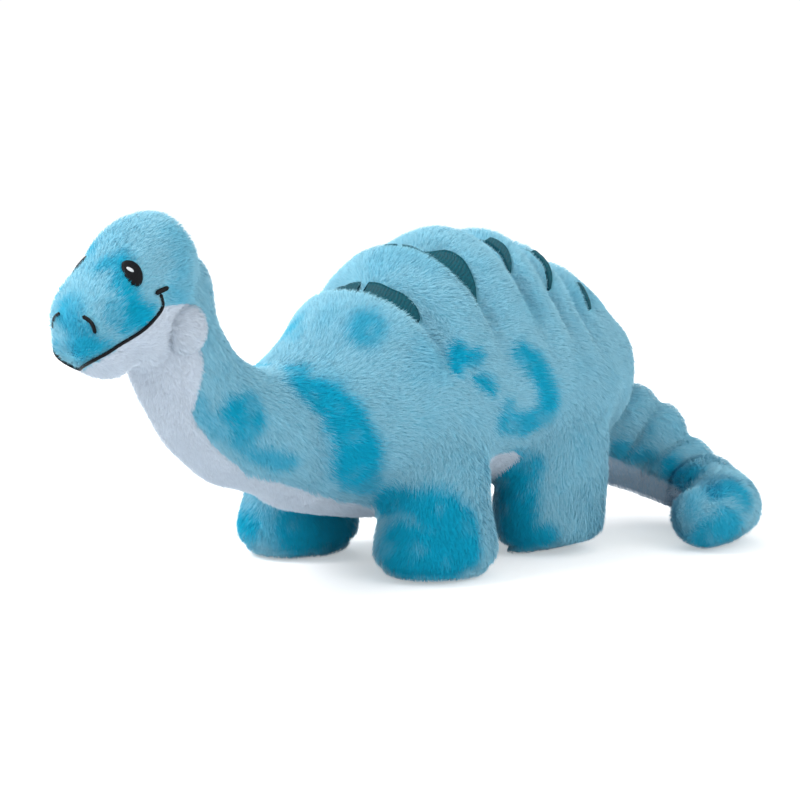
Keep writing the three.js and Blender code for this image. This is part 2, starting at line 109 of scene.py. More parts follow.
# Ovals on the side of the head: their y and z, radii, and lean in degrees
EYE = dict(at=(-172.6, 141.4), radii=(2.95, 5.0), lean=13)
GLINT = dict(at=(-173.2, 142.4), radii=(1.05, 0.75), lean=60)
# A line above each eye where the pile's tips are painted lighter: a painted highlight, where the pile parts
BROW_HIGHLIGHT = [[-171.5, 149.3], [-167.5, 149.6], [-164.5, 147.6]]
NOSTRIL = [[7, 124.8], [9.7, 123.6], [11.7, 122.1], [12.7, 120.1], [13.2, 117.8]]
CORNER = [[-166, 133], [-159, 134.7]]
THREAD_ROOT = 0.7  # how far a line of stitches reaches into the plush
CHEEK = ((18.8, -146.2, 116.5), (7.8, 11.0, 11.2))  # centre and radii
CHEEK_SWELL, CHEEK_REACH = 2.7, 9.5  # of the jaw round a cheek
CORE_DEPTH = 2.0  # from a cheek's outside to its core
LEGS = ("leg_front_left", "leg_front_right", "leg_hind_left", "leg_hind_right")


def mirrored(form):
    return dict(form, stations=[[-s[0], *s[1:]] for s in form["stations"]])


FORMS = {
    "torso": TORSO, "neck": NECK, "head": HEAD, "tail": TAIL, "tail_tip": TAIL_TIP,
    "leg_front_left": FRONT_LEG, "leg_front_right": mirrored(FRONT_LEG),
    "leg_hind_left": HIND_LEG, "leg_hind_right": mirrored(HIND_LEG),
}


# Small maths
def unit(v):
    return v / np.maximum(np.linalg.norm(v, axis=-1, keepdims=True), 1e-9)


def smooth(low, high, v):
    u = np.clip((v - low) / (high - low), 0, 1)
    return u * u * (3 - 2 * u)


def noise(p, size, seed=0):
    """Smooth noise from -1 to 1 over points, with features about size millimetres apart."""
    q = np.asarray(p, float) / size + 37.7 * seed
    cell = np.floor(q).astype(np.int64)
    f = q - cell
    f = f * f * (3 - 2 * f)
    total = 0
    for corner in range(8):
        step = np.array([corner & 1, corner >> 1 & 1, corner >> 2 & 1])
        h = ((cell + step) * (374761393, 668265263, 2147483629)).sum(-1) + seed * 1274126177
        h = (h ^ (h >> 13)) * 1274126177 & 0xFFFFFFFF
        value = ((h ^ (h >> 16)) & 0xFFFF) / 32767.5 - 1
        total = total + value * np.prod(np.where(step, f, 1 - f), axis=-1)
    return total


def to_line(p, line):
    """Distance from each point to a line of points."""
    line = np.asarray(line, float)
    best = np.full(len(p), 1e9)
    for a, b in zip(line[:-1], line[1:]):
        run = b - a
        u = np.clip(((p - a) @ run) / max(run @ run, 1e-9), 0, 1)
        best = np.minimum(best, np.linalg.norm(p - a - u[:, None] * run, axis=1))
    return best


# Padded forms
def eased(stations, t):
    """The rows of a table at each t from 0 to 1, run through smoothly."""
    table = np.asarray(stations, float)
    last = len(table) - 1
    along = np.clip(t, 0, 1) * last
    i = np.minimum(along.astype(int), last - 1)
    u = (along - i)[:, None]
    start, end = table[i], table[i + 1]
    before = np.where(i[:, None] > 0, table[np.maximum(i - 1, 0)], 2 * start - end)
    after = np.where((i + 2 <= last)[:, None], table[np.minimum(i + 2, last)], 2 * end - start)
    leave, arrive = (end - before) / 2, (after - start) / 2
    cubic, square = 2 * start - 2 * end + leave + arrive, 3 * end - 3 * start - 2 * leave - arrive
    return ((cubic * u + square) * u + leave) * u + start


def sections(form, t):
    """Stations of a form at each t, and the directions along, across and over it there."""
    at = eased(form["stations"], t)
    ahead, behind = eased(form["stations"], t + 0.01), eased(form["stations"], t - 0.01)
    along = unit(ahead[:, :3] - behind[:, :3])
    if form["frame"] == "side":
        side = unit(np.array([1.0, 0, 0]) - along[:, :1] * along)
        over = np.cross(side, along)
    else:
        over = unit(np.array([0, 0, 1.0]) - along[:, 2:] * along)
        side = np.cross(along, over)
    return at, along, side, over


def groove_depth(y, angle):
    """How far the skin sinks into the grooves, at an angle from the crest."""
    depth = GROOVE_DEPTH * sum(np.exp(-(((y - g) / GROOVE_WIDTH) ** 2)) for g in GROOVES) - HUMP_SWELL
    return depth * smooth(0.12, 0.8, np.cos(angle)) * smooth(-56, -30, y)


def fan(y, angle):
    """How far the grooves spread along the body, down its sides."""
    spread = y - 22
    share = 1 - smooth(60, 98, np.abs(spread))
    return -GROOVE_FAN * share * spread * np.sin(angle) ** 2 * np.maximum(0, np.cos(angle))


def grid(form, grow=0.0, rings=60, sides=72):
    """Rings of points over a form and its domes, with the run of the spine at each."""
    depth = [d + grow if d else 0 for d in form["domes"]]
    bends = np.linspace(0, math.pi / 2, 9)[1:-1]
    t = np.linspace(0, 1, rings)
    places = [(0.0, -depth[0] * math.sin(b), math.cos(b)) for b in bends[::-1]] if depth[0] else []
    places += [(u, 0.0, 1.0) for u in t]
    places += [(1.0, depth[1] * math.sin(b), math.cos(b)) for b in bends] if depth[1] else []
    ts, shift, share = np.array(places).T
    at, along, side, over = sections(form, ts)
    angle = 2 * math.pi * (np.arange(sides) + 0.5) / sides
    cos, sin = np.cos(angle), np.sin(angle)
    lift = np.where(cos > 0, at[:, 4:5], at[:, 5:6]) + grow
    across = sin * (at[:, 3:4] + grow) * share[:, None]
    height = cos * lift * share[:, None]
    p = at[:, None, :3] + along[:, None] * shift[:, None, None]
    p = p + side[:, None] * across[..., None] + over[:, None] * height[..., None]
    if form is TORSO:
        a = np.broadcast_to(angle, p.shape[:2])
        d = groove_depth(p[..., 1], a)
        p[..., 1] += fan(p[..., 1], a)
        p[..., 2] -= d * np.cos(a)
        p[..., 0] -= d * np.sin(a)
    ends = [at[0, :3] - along[0] * depth[0], at[-1, :3] + along[-1] * depth[1]]
    return p, np.broadcast_to(along[:, None], p.shape), ends


def closed(rings, ends):
    """Vertices and faces of a closed skin over rings of points."""
    rows, sides, _ = rings.shape
    v = np.concatenate([rings.reshape(-1, 3), ends])
    r, k = np.meshgrid(np.arange(rows - 1), np.arange(sides), indexing="ij")
    n = (k + 1) % sides
    quads = np.stack([r * sides + k, r * sides + n, (r + 1) * sides + n, (r + 1) * sides + k], -1)
    k = np.arange(sides)
    n = (k + 1) % sides
    first, last = rows * sides, rows * sides + 1
    faces = quads.reshape(-1, 4).tolist()
    faces += [[first, int(b), int(a)] for a, b in zip(k, n)]
    faces += [[last, int((rows - 1) * sides + a), int((rows - 1) * sides + b)] for a, b in zip(k, n)]
    return v, faces


def mesh_object(name, points, faces):
    """A Blender object from points in table millimetres."""
    mesh = bpy.data.meshes.new(name)
    mesh.from_pydata(((np.asarray(points) + SHIFT) / 1000).tolist(), [], faces)
    mesh.update()
    mesh.shade_smooth()
    o = bpy.data.objects.new(name, mesh)
    bpy.context.collection.objects.link(o)
    return o


def places_of(mesh):
    co = np.empty(len(mesh.vertices) * 3, np.float32)
    mesh.vertices.foreach_get("co", co)
    return co.reshape(-1, 3).astype(float) * 1000 - SHIFT


def normals_of(mesh):
    n = np.empty(len(mesh.vertices) * 3, np.float32)
    mesh.vertex_normals.foreach_get("vector", n)
    return n.reshape(-1, 3).astype(float)


# Where the bodies bend into one another
NECK_START, NECK_END = np.array([0, -80.0, 68.0]), np.array([0, -104.0, 80.0])
HEAD_START, HEAD_END = np.array([0, -132.5, 86.0]), np.array([0, -135.2, 104.0])
TAIL_START, TAIL_END = np.array([0, 110.0, 60.0]), np.array([3.0, 136.0, 48.0])


def leg_ends(hip):
    """Where a leg's bend starts and ends, down and out from its hip."""
    out = np.array([math.copysign(0.6, hip[0]), 0, -0.8])
    middle = 0.8 * hip[2] - 0.6 * abs(hip[0])
    return hip + out * (middle - 4), hip + out * (middle + 16)


BLENDS = {
    "neck": ("torso", NECK_START, NECK_END), "head": ("neck", HEAD_START, HEAD_END),
    "tail": ("torso", TAIL_START, TAIL_END),
}
for leg in LEGS:
    BLENDS[leg] = ("torso", *leg_ends(np.array(FORMS[leg]["stations"][0][:3], float)))


def past(p, body):
    """How far beyond the start of its bend a point of a body lies, from 0 to 1 at the bend's end."""
    _, start, end = BLENDS[body]
    run = end - start
    return (p - start) @ run / (run @ run)


def attach(o, body):
    if body == "torso":
        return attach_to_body(o, "torso")
    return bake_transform(o)


# Surfaces to sew the face on
def surface_tree(form):
    rings, _, ends = grid(form, rings=70, sides=96)
    v, f = closed(rings, ends)
    return BVHTree.FromPolygons(v.tolist(), f)


HEAD_TREE = surface_tree(HEAD)


def cast(start, direction, tree=HEAD_TREE):
    hit, normal, _, _ = tree.ray_cast(Vector(start), Vector(direction).normalized())
    if hit is None:
        raise ValueError(f"no surface from {start}")
    normal = np.array(normal)
    return np.array(hit), normal if normal @ np.array(direction) < 0 else -normal


def from_side(y, z, side=1):
    return cast((side * 80, y, z), (-side, 0, 0))


CORNER_OF_SNOUT = from_side(*MOUTH_LINE[4])[0] - SNOUT


def snout_angles(p):
    """Turn from the front and dip below the level, in degrees, seen from inside the snout."""
    out = p - SNOUT
    turn = np.degrees(np.arctan2(out[..., 0], -out[..., 1]))
    return turn, np.degrees(np.arctan2(-out[..., 2], np.hypot(out[..., 0], out[..., 1])))


ACROSS, START_DIP = (float(v) for v in snout_angles(CORNER_OF_SNOUT + SNOUT))


def mouth_dip(turn):
    """How far below the level the mouth lies at each turn from the front."""
    share = np.clip(np.abs(turn) / ACROSS, 0, 1) ** 0.95
    return MOUTH_BELOW + (START_DIP - MOUTH_BELOW) * share


# Colour of the plush, by place
def pale_share(p, kind):
    """1 on the pale panels (jaw, throat, chest, belly, under the tail) and 0 on the blue plush.

    kind holds how much of each point belongs to a leg, to the tail and to the tail's tip.
    """
    y, z = p[:, 1], p[:, 2]
    line = np.array(PALE_LINE)
    body = smooth(0.7, -0.7, z - np.interp(y, line[:, 0], line[:, 1]) + 0.45 * noise(p, 7, 5))
    jaw_line = np.array(MOUTH_LINE[1:])[::-1]
    jaw = smooth(0.5, -0.5, z - np.interp(y, jaw_line[:, 0], jaw_line[:, 1]))
    turn, dip = snout_angles(p)
    jaw = np.where(y < MOUTH_LINE[4][0], smooth(-2, 2, dip - mouth_dip(turn)), jaw)
    jaw *= smooth(-142.5, -144.5, y + 0.35 * (z - 118))
    front = np.where(y < line[0, 0], jaw, np.maximum(jaw * (y < -139), body))
    a, b, c = (np.array(q, float) for q in TAIL_PLANE)
    up = np.cross(b - a, c - a)
    up = up * math.copysign(1, up[2]) / np.linalg.norm(up)
    under_tail = smooth(0.7, -0.7, (p - a) @ up)
    leg, tail, tip = kind.T
    pale = np.where(tail > 0.5, under_tail, np.where(y < -120, front, body))
    return pale * smooth(0.6, 0.4, leg) * smooth(0.6, 0.4, tip)


SPOTS = [  # points of a line, radius, strength and softness, in the frame's own millimetres
    ([[1.6, -33.1, 109.4], [4.2, -32.8, 107.7]], 8.7, 0.83, 0.51),
    ([[-26.6, -45.4, 102.2], [-24.2, -43.1, 105.1]], 3.2, 0.42, 0.59),
    ([[-8.7, -62.6, 93.6], [3.9, -67.9, 87.7]], 6.1, 0.88, 0.42),
    ([[3.9, -67.9, 87.7], [10.8, -62.7, 82.6], [19.1, -58.7, 74.2]], 8.4, 1.0, 0.38),
    ([[19.5, -59.2, 72.9], [22.4, -55.6, 63.1], [20.4, -53.3, 52.1]], 11.4, 1.0, 0.34),
    ([[17, -52.6, 45.8], [17.1, -44.5, 42.4]], 6.1, 0.83, 0.42),
    ([[5.5, -106.6, 80], [6.3, -103, 74.6]], 9.2, 0.99, 0.38),
    ([[3.9, -106.2, 68.2], [6.4, -95, 60.8], [8.7, -79.9, 55.1]], 5.0, 0.78, 0.51),
    ([[0.8, -127.2, 86.8], [0.9, -116.9, 74], [3.4, -105.9, 66.1]], 4.5, 0.52, 0.51),
    ([[2.5, -133.6, 103], [2.5, -131.8, 98.8]], 4.6, 0.78, 0.42),
    ([[27.5, -1.9, 100.6], [29.3, -4, 90.5]], 4.8, 1.0, 0.38),
    ([[30.1, -2.5, 95.8], [35.9, 6.2, 96]], 4.9, 1.0, 0.38),
    ([[38.6, 4.9, 85.6], [39.7, 10.1, 80.8]], 4.5, 0.99, 0.38),
    ([[38.1, 30.9, 93.8], [39.5, 40.4, 88.2], [40, 45.8, 77.9], [39.1, 48.6, 69.3]], 7.4, 0.99, 0.42),
    ([[38.8, 47.7, 68.3], [37.1, 37, 63], [38.5, 22, 64.9]], 6.3, 0.94, 0.42),
    ([[39.7, 23.4, 71.9], [39.1, 18.9, 67.3]], 4.5, 0.73, 0.42),
    ([[17.2, -33, 36.6], [38.4, -27.2, 37.4]], 7.1, 0.99, 0.42),
    ([[39.7, -27, 33.9], [46.7, -17.1, 28.4], [48.6, -17.2, 19.1]], 10.8, 1.0, 0.34),
    ([[29.9, -37.5, 17], [46.1, -25.7, 14]], 12.8, 1.0, 0.34),
    ([[26.4, 38.4, 45.9], [30.5, 48.9, 43.2]], 6.9, 0.94, 0.42),
    ([[22.9, 43.9, 34.9], [23.7, 44.8, 11]], 11.6, 1.0, 0.34),
    ([[32.6, 49.5, 10.2]], 8.4, 0.99, 0.42),
    ([[-39.5, -27.7, 15.7], [-33.6, -5.1, 12.6]], 13.9, 0.99, 0.38),
    ([[-53.4, -36.9, 18.9], [-46.8, -35.4, 10.5]], 7.3, 0.62, 0.51),
    ([[-13.5, 146, 44], [-8, 152, 42]], 6.1, 0.83, 0.42),
    ([[3, 138.9, 37.8], [16, 147.1, 34.4]], 5.8, 0.88, 0.42),
    ([[25.4, 148.9, 29.2], [37.7, 145.3, 26.3]], 6.9, 1.0, 0.38),
    ([[26.2, 150.7, 32.8], [38.9, 148.4, 30.6]], 5.3, 0.83, 0.42),
    ([[10.3, 143.8, 43.4], [13.6, 148.3, 46.8]], 4.0, 0.52, 0.51),
    ([[74.9, 119.2, 28.2], [72.5, 133.5, 29.6], [79.7, 134.7, 25.7]], 7.3, 0.94, 0.42),
    ([[78, 116, 9], [86, 124, 11]], 9.9, 0.94, 0.42),
    ([[69.7, 109.9, 24.3], [72, 108, 18]], 4.8, 0.52, 0.59),
    ([[64.5, 110.1, 5.7], [69.3, 111.1, 3.7]], 5.3, 0.62, 0.51),
    ([[-21.9, -178.7, 126.1], [-15.8, -179.7, 121]], 6.1, 0.84, 0.51),
    ([[-12.2, -180.5, 112.8], [-3.2, -177.5, 110.9]], 6.4, 0.95, 0.51),
    ([[-8.2, -178.8, 119.1], [-7.6, -179.5, 114.5]], 4.2, 0.84, 0.51),
    ([[-12.6, -164, 144.8], [-7.7, -160.7, 146.5]], 5.3, 0.84, 0.51),
    ([[-6.8, -161.8, 145], [-3.1, -166.5, 138.5], [2.8, -165.2, 134]], 4.7, 0.95, 0.51),
    ([[1.9, -165.7, 134.7], [5, -165.2, 130.3]], 5.3, 1.0, 0.51),
    ([[6.6, -164.5, 126.2], [7.5, -160.7, 123.5]], 7.6, 1.0, 0.38),
    ([[5.2, -168.6, 120.9], [6.5, -165.5, 123.8]], 4.2, 0.95, 0.47),
    ([[-0.2, -170.9, 131], [3.2, -171.2, 124.3]], 3.7, 0.67, 0.59),
    ([[2.4, -137.7, 152.9], [6.4, -139.3, 144.4]], 6.6, 0.39, 0.68),
    ([[8, -144.3, 131.1], [7.1, -139, 126.6]], 4.2, 0.39, 0.68),
]


FAR_SIDE = -30  # a spot with a point beyond this x is on the far side already
SPOT_SHIFT = 6  # how far the far side's spots are moved along the body


def spots():
    """Each spot as a line, radius, strength and softness, and its mirror on the far side, moved a bit."""
    for line, *dye in SPOTS:
        points = np.array(line if len(line) > 1 else line * 2, float)
        yield points, *dye
        if points[:, 0].min() >= FAR_SIDE:
            along = SPOT_SHIFT if len(line) % 2 else -SPOT_SHIFT
            yield points * (-1, 1, 1) + (2 * SHIFT[0], along, 0), *dye


def deep_share(p):
    """How much of the deep blue dye each place has."""
    w = p + SHIFT
    warp = np.stack([noise(w, 12, seed) for seed in (11, 12, 13)], 1) * 2.4
    warp += np.stack([noise(w, 4, seed) for seed in (14, 15, 16)], 1) * 1.5
    deep = np.zeros(len(w))
    for line, radius, strength, soft in spots():
        off = to_line(w + warp, line) / radius
        deep = np.maximum(deep, strength * smooth(1 + soft, 1 - soft, off))
    deep *= 1 - 0.3 * smooth(0.15, 0.8, noise(w, 6, 23))
    mottle = smooth(0.25, 0.75, noise(w, 21, 21)) * 0.24 + smooth(0.2, 0.8, noise(w, 9, 22)) * 0.1
    return np.clip(deep + mottle * (1 - deep), 0, 1)


# Materials
def linear(r, g, b):
    """A colour from its screen values."""
    def one(c):
        c /= 255
        return c / 12.92 if c <= 0.04045 else ((c + 0.055) / 1.055) ** 2.4
    return (one(r), one(g), one(b), 1.0)


LIGHT_BLUE, DEEP_BLUE = linear(136, 206, 226), linear(0, 182, 216)
PALE, FROST = linear(220, 227, 237), linear(226, 243, 250)
TEAL, TEAL_DARK, TEAL_LIT = linear(2, 80, 94), linear(1, 42, 53), linear(8, 98, 110)


THROUGH = 0.2  # share of the light that blades of pile let through


class Nodes:
    """A small helper to write the nodes of a material or world in a few lines."""

    def __init__(self, owner, out="OutputMaterial"):
        owner.use_nodes = True
        self.owner, self.tree = owner, owner.node_tree
        self.tree.nodes.clear()
        self.out = self.add(out)

    def feed(self, socket, value):
        """Link a value to a socket, or set it."""
        if isinstance(value, bpy.types.NodeSocket):
            self.tree.links.new(value, socket)
        else:
            socket.default_value = value

    def add(self, what, inputs=(), **settings):
        node = self.tree.nodes.new("ShaderNode" + what)
        for key, value in settings.items():
            setattr(node, key, value)
        for key, value in dict(inputs).items():
            self.feed(node.inputs[key], value)
        return node

    def texture(self, what, scale, output="Fac", **inputs):
        """A procedural texture over the object's own places."""
        where = self.add("TexCoord").outputs["Object"]
        return self.add("Tex" + what, {"Vector": where, "Scale": scale, **inputs}).outputs[output]

    def mix(self, factor, a, b, how="MIX"):
        node = self.add("Mix", data_type="RGBA", blend_type=how)
        for place, value in ((0, factor), (6, a), (7, b)):
            self.feed(node.inputs[place], value)
        return node.outputs[2]

    def math(self, how, *values):
        return self.add("Math", dict(enumerate(values)), operation=how).outputs[0]

    def bump(self, height, strength, distance):
        return self.add("Bump", {"Height": height, "Strength": strength, "Distance": distance}).outputs[0]

    def seen(self):
        """1 where the camera looks, straight or in a reflection, and 0 for other light."""
        path = self.add("LightPath")
        return self.math("MAXIMUM", path.outputs["Is Camera Ray"], path.outputs["Is Glossy Ray"])

    def show(self, shader):
        self.tree.links.new(shader.outputs[0], self.out.inputs["Surface"])
        return self.owner

    def finish(self, through=0.0, **inputs):
        """The shader, with a share of the light that falls on its back coming through."""
        shader = self.add("BsdfPrincipled", {key.replace("_", " "): value for key, value in inputs.items()})
        if through:
            lit = self.add("BsdfTranslucent", {"Color": inputs["Base_Color"]})
            shader = self.add("MixShader", {0: through, 1: shader.outputs[0], 2: lit.outputs[0]})
        return self.show(shader)


def new_material(name):
    return Nodes(bpy.data.materials.new(name))


def plush(name, pale, root):
    """Pile. The attribute Tone holds deep dye (a painted bluish shade on pale pile under the tail), how near
    the tip and how frosted a place is (a painted highlight on the brow), and chance.
    """
    n = new_material(name)
    tone = n.add("Attribute", attribute_name="Tone")
    parts = n.add("SeparateColor", {"Color": tone.outputs["Color"]})
    deep, tip, chance = parts.outputs[0], parts.outputs[1], parts.outputs[2]
    fine, broad = n.texture("Noise", 260.0, Detail=2.0), n.texture("Noise", 55.0, Detail=3.0)
    if pale:
        dye = n.mix(n.math("MULTIPLY", broad, 0.25), PALE, linear(190, 203, 218))
        # The dye channel tints pale pile bluish; only the pale pile under the tail has it: painted shade
        dye = n.mix(deep, dye, linear(168, 205, 228))
    else:
        dye = n.mix(deep, LIGHT_BLUE, DEEP_BLUE)
        cloud = n.math("MULTIPLY", broad, n.math("MULTIPLY_ADD", deep, -0.18, 0.22))
        dye = n.mix(cloud, dye, linear(96, 186, 216))
    frost = n.math("MULTIPLY", n.math("MULTIPLY", tip, n.math("SUBTRACT", 1.0, deep)), 0.26)
    dye = n.mix(frost, dye, FROST)
    # Each blade is painted darker from tip to root, a painted shade inside the pile; chance and fine noise
    # vary the tone at random
    shade = n.math("ADD", n.math("MULTIPLY", tip, 1 - root), root)
    shade = n.math("MULTIPLY", shade, n.math("ADD", n.math("MULTIPLY", chance, 0.12), 0.94))
    shade = n.math("MULTIPLY", shade, n.math("ADD", n.math("MULTIPLY", fine, 0.16), 0.92))
    grey = n.add("CombineColor", {"Red": shade, "Green": shade, "Blue": shade}).outputs[0]
    colour = n.mix(1.0, dye, grey, "MULTIPLY")
    rough = n.math("ADD", n.math("MULTIPLY", fine, 0.15), 0.78)
    return n.finish(THROUGH, Base_Color=colour, Roughness=rough, Specular_IOR_Level=0.12,
                    Sheen_Weight=0.08, Sheen_Roughness=0.45)


BLUE_FUR, PALE_FUR = plush("blue pile", False, 0.86), plush("pale pile", True, 0.9)


def backing():
    """Knitted backing of the plush, seen only between the blades. Tone holds deep dye and pale share."""
    n = new_material("plush backing")
    tone = n.add("Attribute", attribute_name="Tone")
    parts = n.add("SeparateColor", {"Color": tone.outputs["Color"]})
    fuzz = n.texture("Noise", 900.0, Detail=3.0)
    blue = n.mix(parts.outputs[0], LIGHT_BLUE, DEEP_BLUE)
    dye = n.mix(parts.outputs[2], blue, PALE)
    # The backing is painted a little darker towards a deep blue, more where the fuzz is high: painted shade
    # between the blades
    colour = n.mix(n.math("MULTIPLY_ADD", fuzz, 0.2, 0.05), dye, linear(40, 112, 140))
    return n.finish(Base_Color=colour, Roughness=0.95, Normal=n.bump(fuzz, 0.6, 0.0006),
                    Specular_IOR_Level=0.1, Sheen_Weight=0.15, Sheen_Roughness=0.5)


BACKING = backing()


def weave():
    """Teal fabric of the back stripes: a dense, slightly glossy knit."""
    n = new_material("stripe weave")
    cells = n.texture("Voronoi", 1250.0, "Distance")
    ribs = n.texture("Wave", 190.0, Distortion=2.5, Detail=1.0)
    cloud = n.texture("Noise", 120.0, Detail=2.0)
    mixed = n.math("ADD", n.math("MULTIPLY", cells, 0.7), n.math("MULTIPLY", ribs, 0.35))
    colour = n.mix(mixed, TEAL_DARK, TEAL)
    colour = n.mix(n.math("MULTIPLY", cloud, 0.3), colour, TEAL_LIT)
    rough = n.math("ADD", n.math("MULTIPLY", cells, 0.25), 0.42)
    return n.finish(Base_Color=colour, Roughness=rough, Normal=n.bump(mixed, 0.55, 0.0004),
                    Specular_IOR_Level=0.15)


def satin(name, base, lit):
    """Satin stitch: threads side by side, across the attribute Along in millimetres."""
    n = new_material(name)
    along = n.add("Attribute", attribute_name="Along").outputs["Fac"]
    thread = n.math("ABSOLUTE", n.math("SINE", n.math("MULTIPLY", along, math.pi / 0.42)))
    grain = n.texture("Noise", 1400.0)
    height = n.math("ADD", n.math("MULTIPLY", thread, 0.8), n.math("MULTIPLY", grain, 0.3))
    colour = n.mix(n.math("MULTIPLY", height, 0.4), base, lit)
    rough = n.math("SUBTRACT", 0.5, n.math("MULTIPLY", thread, 0.2))
    return n.finish(Base_Color=colour, Roughness=rough, Normal=n.bump(height, 0.5, 0.00025),
                    Specular_IOR_Level=0.1)


WEAVE = weave()
BLACK_THREAD = satin("black thread", linear(6, 6, 8), linear(22, 25, 30))
WHITE_THREAD = satin("white thread", linear(188, 194, 198), linear(224, 228, 230))


# One skin over all the sewn forms
def tree_of(places):
    """A search tree over places."""
    found = kdtree.KDTree(len(places))
    for i, place in enumerate(places):
        found.insert(place, i)
    found.balance()
    return found


def apply_modifier(o, what, **settings):
    modifier = o.modifiers.new(what.lower(), what)
    for key, value in settings.items():
        setattr(modifier, key, value)
    bpy.ops.object.modifier_apply(modifier=modifier.name)


def joined_skin():
    """The backing of every sewn form, run together where they are stitched."""
    places, labels, runs, parts = [], [], [], []
    bpy.ops.object.select_all(action="DESELECT")
    for name, form in FORMS.items():
        rings, along, ends = grid(form, -PILE)
        places.append(rings.reshape(-1, 3))
        labels += [name] * rings.shape[0] * rings.shape[1]
        runs.append(along.reshape(-1, 3))
        parts.append(mesh_object("form_" + name, *closed(rings, ends)))
    for o in parts:
        o.select_set(True)
    bpy.context.view_layer.objects.active = parts[0]
    bpy.ops.object.join()
    o = bpy.context.view_layer.objects.active
    apply_modifier(o, "REMESH", mode="VOXEL", voxel_size=VOXEL / 1000)
    apply_modifier(o, "SMOOTH", factor=0.5, iterations=5)
    return o, np.concatenate(places), np.array(labels), np.concatenate(runs)


skin, form_points, form_labels, form_runs = joined_skin()
points, normals = places_of(skin.data), normals_of(skin.data)

form_tree = tree_of(form_points)
near = np.array([[hit[1] for hit in form_tree.find_n(p, 3)] for p in points])
labels_near = form_labels[near]
nearest_form = labels_near[:, 0]

corners = np.empty(len(skin.data.loops), np.int32)
skin.data.loops.foreach_get("vertex_index", corners)
assert len(corners) == 4 * len(skin.data.polygons)
quads = corners.reshape(-1, 4)


def relaxed(values, rounds):
    """Values at the skin's vertices, each drawn towards the mean of the faces around it."""
    around = np.bincount(quads.ravel(), minlength=len(values))[:, None]
    for _ in range(rounds):
        mean = np.repeat(values[quads].mean(axis=1), 4, axis=0)
        columns = [np.bincount(quads.ravel(), column, len(values)) for column in mean.T]
        values = np.stack(columns, 1) / around
    return values


# How much of each place belongs to a leg, to the tail and to the tail's tip, and which way its form runs
kind = np.stack([np.char.startswith(labels_near, "leg").mean(1), (labels_near == "tail").mean(1),
                 (labels_near == "tail_tip").mean(1)], 1)
kind = relaxed(kind, 6)
run = unit(relaxed(unit(form_runs[near].mean(axis=1)), 16))


def mirrored_gap(p, centre):
    """From centre, or its mirror on the same side as each place, to the place."""
    return np.stack([np.abs(p[:, 0]), p[:, 1], p[:, 2]], 1) - centre


def tail_folds(p):
    """Folds across the tail, which lean back over its top."""
    tail = np.flatnonzero(kind[:, 1] > 0.3)
    steps = 160
    centre = eased(TAIL["stations"], np.linspace(0, 1, steps))
    step = np.argmin(((p[tail, None] - centre[None, :, :3]) ** 2).sum(-1), axis=1)
    above = (p[tail, 2] - centre[step, 2]) / centre[step, 4]
    along = step / (steps - 1) - 0.05 * above + 0.018 * noise(p[tail], 12, 31)
    deepest = np.min([np.abs(along - at) for at in TAIL_FOLDS], axis=0)
    share = smooth(-0.75, -0.1, above) * smooth(0.02, 0.12, along) * smooth(0.3, 0.8, kind[tail, 1])
    return tail, (FOLD_HEIGHT * smooth(0.0, 0.07, deepest) - FOLD_SINK) * share


def wrinkles(p, n):
    """Folds and seams of the sewn plush, as a move along the normal in millimetres."""
    move = np.zeros(len(p))
    # The seam is where plush is half blue, half pale
    move -= SEAM_DEPTH * (1 - (2 * pale_share(p, kind) - 1) ** 2)
    tail, folds = tail_folds(p)
    move[tail] += folds
    # The jaw swells softly towards the cheeks
    cheek_gap = np.linalg.norm(mirrored_gap(p, CHEEK[0]), axis=1)
    move += CHEEK_SWELL * np.exp(-((cheek_gap / CHEEK_REACH) ** 2))
    # Soft dents where the stuffing has settled
    move += sum(depth * noise(p, apart, seed) for depth, apart, seed in DENTS)
    # The feet round off towards the floor
    foot = np.clip((FOOT_ROUND - p[:, 2]) / FOOT_ROUND, 0, 1) * smooth(0.3, 0.7, kind[:, 0])
    move -= 0.6 * FOOT_ROUND * (1 - np.sqrt(1 - foot ** 2)) * smooth(1.0, 0.6, np.abs(n[:, 2]))
    return move


points = points + normals * wrinkles(points, normals)[:, None]
# The leg covers run softly into the body
joining = (4 * kind[:, 0] * (1 - kind[:, 0])).clip(0, 1) * smooth(22, 34, points[:, 2])
joining = relaxed(joining[:, None], 8).clip(0, 1) ** 0.7
points += (relaxed(points, 40) - points) * joining
points[:, 2] = np.maximum(points[:, 2], SOLE_HEIGHT)
skin.data.vertices.foreach_set("co", ((points + SHIFT) / 1000).astype(np.float32).ravel())
skin.data.update()
normals = normals_of(skin.data)


def body_of_places(p, form):
    body = np.where(np.isin(form, ("neck", "head", "tail", "tail_tip")), "torso", form).astype("<U16")
    upper = p[:, 1] < -60
    body[upper & (past(p, "neck") > 0)] = "neck"
    body[upper & (past(p, "head") > 0)] = "head"
    body[past(p, "tail") > 0] = "tail"
    for limb in LEGS:
        body[(form == limb) & (past(p, limb) <= 0)] = "torso"
    return body


BODY_NAMES = ["torso", "neck", "head", "tail", *LEGS]
code = np.array([BODY_NAMES.index(b) for b in body_of_places(points, nearest_form)])
face_code = np.sort(code[quads], axis=1)[:, 1]
deep, pale = deep_share(points), pale_share(points, kind)

REPLACED = {
    "torso": ["body_left", "body_right", "belly", "body_stuffing"],
    "neck": ["neck", "throat", "neck_stuffing"], "head": ["head", "jaw", "head_stuffing"],
    "tail": ["tail", "tail_underside", "tail_stuffing", "tail_tip"],
}
for leg in LEGS:
    REPLACED[leg] = [leg, leg.replace("leg", "sole"), leg + "_stuffing"]


def tone_attribute(mesh, values):
    layer = mesh.attributes.new("Tone", "FLOAT_COLOR", "POINT")
    layer.data.foreach_set("color", np.ascontiguousarray(values, np.float32).ravel())


